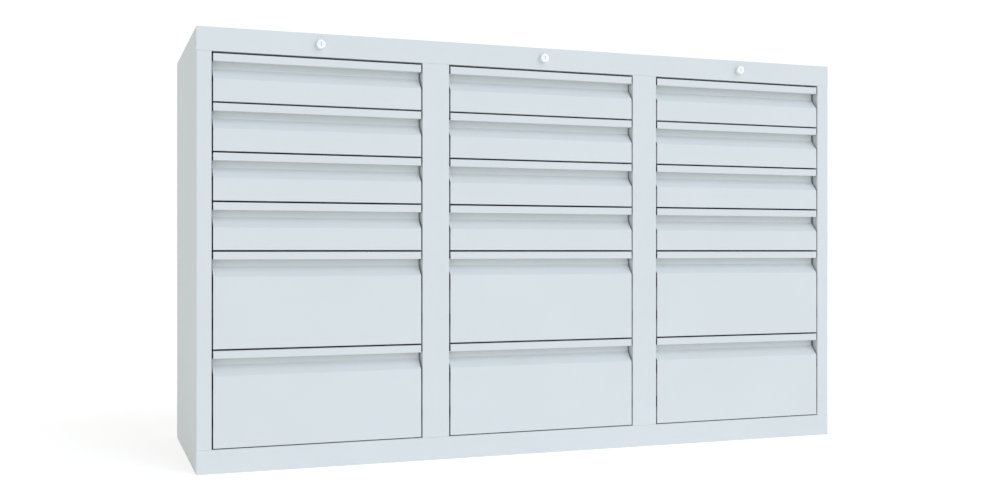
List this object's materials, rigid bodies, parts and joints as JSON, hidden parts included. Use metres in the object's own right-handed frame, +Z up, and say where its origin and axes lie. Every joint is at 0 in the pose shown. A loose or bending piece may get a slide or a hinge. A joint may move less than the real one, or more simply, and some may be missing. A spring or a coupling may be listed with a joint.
{
  "type": "drawer cabinet",
  "caption": "Wide low sheet-steel drawer cabinet in light grey: equal bays of shallow drawers over deep ones, full-width folded pull channels, and a central lock over each bay.",
  "frame": {"origin": "centre of the cabinet's footprint on the floor", "axes": "+Z up, the drawer fronts face -Y, +X to the right as seen from the front"},
  "size_m": [1.5, 0.5088, 0.9],
  "materials": {
    "powder_coat": "light grey powder coat, fine texture",
    "drawer_coat": "light grey powder coat, fine texture",
    "zinc_steel": "bright zinc plate",
    "nylon": "natural nylon",
    "lock_chrome": "bright nickel"
  },
  "bodies": {
    "cabinet": {"side_panel_left": "powder_coat", "side_panel_right": "powder_coat", "partition_left": "powder_coat", "partition_right": "powder_coat", "top_panel": "powder_coat", "bottom_panel": "powder_coat", "back_panel": "powder_coat", "runner_posts_left": "zinc_steel", "runner_posts_right": "zinc_steel", "base_channels": "zinc_steel", "cabinet_runners": "zinc_steel", "cabinet_rollers": "nylon", "lock_barrels": "lock_chrome", "lock_nuts": "zinc_steel", "lock_brackets": "zinc_steel"},
    "drawer_left_1": {"drawer_left_1_front": "powder_coat", "drawer_left_1_tray": "drawer_coat"},
    "drawer_left_2": {"drawer_left_2_front": "powder_coat", "drawer_left_2_tray": "drawer_coat"},
    "drawer_left_3": {"drawer_left_3_front": "powder_coat", "drawer_left_3_tray": "drawer_coat"},
    "drawer_left_4": {"drawer_left_4_front": "powder_coat", "drawer_left_4_tray": "drawer_coat"},
    "drawer_left_5": {"drawer_left_5_front": "powder_coat", "drawer_left_5_tray": "drawer_coat"},
    "drawer_left_6": {"drawer_left_6_front": "powder_coat", "drawer_left_6_tray": "drawer_coat"},
    "lock_left": {"lock_plug_left": "lock_chrome", "lock_shaft_left": "zinc_steel"},
    "bar_left": {"locking_bar_left": "zinc_steel"},
    "drawer_middle_1": {"drawer_middle_1_front": "powder_coat", "drawer_middle_1_tray": "drawer_coat"},
    "drawer_middle_2": {"drawer_middle_2_front": "powder_coat", "drawer_middle_2_tray": "drawer_coat"},
    "drawer_middle_3": {"drawer_middle_3_front": "powder_coat", "drawer_middle_3_tray": "drawer_coat"},
    "drawer_middle_4": {"drawer_middle_4_front": "powder_coat", "drawer_middle_4_tray": "drawer_coat"},
    "drawer_middle_5": {"drawer_middle_5_front": "powder_coat", "drawer_middle_5_tray": "drawer_coat"},
    "drawer_middle_6": {"drawer_middle_6_front": "powder_coat", "drawer_middle_6_tray": "drawer_coat"},
    "lock_middle": {"lock_plug_middle": "lock_chrome", "lock_shaft_middle": "zinc_steel"},
    "bar_middle": {"locking_bar_middle": "zinc_steel"},
    "drawer_right_1": {"drawer_right_1_front": "powder_coat", "drawer_right_1_tray": "drawer_coat"},
    "drawer_right_2": {"drawer_right_2_front": "powder_coat", "drawer_right_2_tray": "drawer_coat"},
    "drawer_right_3": {"drawer_right_3_front": "powder_coat", "drawer_right_3_tray": "drawer_coat"},
    "drawer_right_4": {"drawer_right_4_front": "powder_coat", "drawer_right_4_tray": "drawer_coat"},
    "drawer_right_5": {"drawer_right_5_front": "powder_coat", "drawer_right_5_tray": "drawer_coat"},
    "drawer_right_6": {"drawer_right_6_front": "powder_coat", "drawer_right_6_tray": "drawer_coat"},
    "lock_right": {"lock_plug_right": "lock_chrome", "lock_shaft_right": "zinc_steel"},
    "bar_right": {"locking_bar_right": "zinc_steel"}
  },
  "joints": [
    {"name": "drawer_left_1_slide", "type": "slide", "parent": "cabinet", "child": "drawer_left_1", "axis": [0, -1, 0], "range_m": [0, 0.33]},
    {"name": "drawer_left_2_slide", "type": "slide", "parent": "cabinet", "child": "drawer_left_2", "axis": [0, -1, 0], "range_m": [0, 0.33]},
    {"name": "drawer_left_3_slide", "type": "slide", "parent": "cabinet", "child": "drawer_left_3", "axis": [0, -1, 0], "range_m": [0, 0.33]},
    {"name": "drawer_left_4_slide", "type": "slide", "parent": "cabinet", "child": "drawer_left_4", "axis": [0, -1, 0], "range_m": [0, 0.33]},
    {"name": "drawer_left_5_slide", "type": "slide", "parent": "cabinet", "child": "drawer_left_5", "axis": [0, -1, 0], "range_m": [0, 0.33]},
    {"name": "drawer_left_6_slide", "type": "slide", "parent": "cabinet", "child": "drawer_left_6", "axis": [0, -1, 0], "range_m": [0, 0.33]},
    {"name": "lock_left_turn", "type": "hinge", "parent": "cabinet", "child": "lock_left", "pos_m": [-0.5, -0.25, 0.8774], "axis": [0, 1, 0], "range_deg": [0, 90]},
    {"name": "bar_left_lift", "type": "slide", "parent": "cabinet", "child": "bar_left", "axis": [0, 0, 1], "range_m": [0, 0.017]},
    {"name": "drawer_middle_1_slide", "type": "slide", "parent": "cabinet", "child": "drawer_middle_1", "axis": [0, -1, 0], "range_m": [0, 0.33]},
    {"name": "drawer_middle_2_slide", "type": "slide", "parent": "cabinet", "child": "drawer_middle_2", "axis": [0, -1, 0], "range_m": [0, 0.33]},
    {"name": "drawer_middle_3_slide", "type": "slide", "parent": "cabinet", "child": "drawer_middle_3", "axis": [0, -1, 0], "range_m": [0, 0.33]},
    {"name": "drawer_middle_4_slide", "type": "slide", "parent": "cabinet", "child": "drawer_middle_4", "axis": [0, -1, 0], "range_m": [0, 0.33]},
    {"name": "drawer_middle_5_slide", "type": "slide", "parent": "cabinet", "child": "drawer_middle_5", "axis": [0, -1, 0], "range_m": [0, 0.33]},
    {"name": "drawer_middle_6_slide", "type": "slide", "parent": "cabinet", "child": "drawer_middle_6", "axis": [0, -1, 0], "range_m": [0, 0.33]},
    {"name": "lock_middle_turn", "type": "hinge", "parent": "cabinet", "child": "lock_middle", "pos_m": [0, -0.25, 0.8774], "axis": [0, 1, 0], "range_deg": [0, 90]},
    {"name": "bar_middle_lift", "type": "slide", "parent": "cabinet", "child": "bar_middle", "axis": [0, 0, 1], "range_m": [0, 0.017]},
    {"name": "drawer_right_1_slide", "type": "slide", "parent": "cabinet", "child": "drawer_right_1", "axis": [0, -1, 0], "range_m": [0, 0.33]},
    {"name": "drawer_right_2_slide", "type": "slide", "parent": "cabinet", "child": "drawer_right_2", "axis": [0, -1, 0], "range_m": [0, 0.33]},
    {"name": "drawer_right_3_slide", "type": "slide", "parent": "cabinet", "child": "drawer_right_3", "axis": [0, -1, 0], "range_m": [0, 0.33]},
    {"name": "drawer_right_4_slide", "type": "slide", "parent": "cabinet", "child": "drawer_right_4", "axis": [0, -1, 0], "range_m": [0, 0.33]},
    {"name": "drawer_right_5_slide", "type": "slide", "parent": "cabinet", "child": "drawer_right_5", "axis": [0, -1, 0], "range_m": [0, 0.33]},
    {"name": "drawer_right_6_slide", "type": "slide", "parent": "cabinet", "child": "drawer_right_6", "axis": [0, -1, 0], "range_m": [0, 0.33]},
    {"name": "lock_right_turn", "type": "hinge", "parent": "cabinet", "child": "lock_right", "pos_m": [0.5, -0.25, 0.8774], "axis": [0, 1, 0], "range_deg": [0, 90]},
    {"name": "bar_right_lift", "type": "slide", "parent": "cabinet", "child": "bar_right", "axis": [0, 0, 1], "range_m": [0, 0.017]}
  ],
  "couplings": [
    {"joint": "lock_left_turn", "follows": "bar_left_lift", "rad_per_m": 92.39},
    {"joint": "lock_middle_turn", "follows": "bar_middle_lift", "rad_per_m": 92.39},
    {"joint": "lock_right_turn", "follows": "bar_right_lift", "rad_per_m": 92.39}
  ]
}
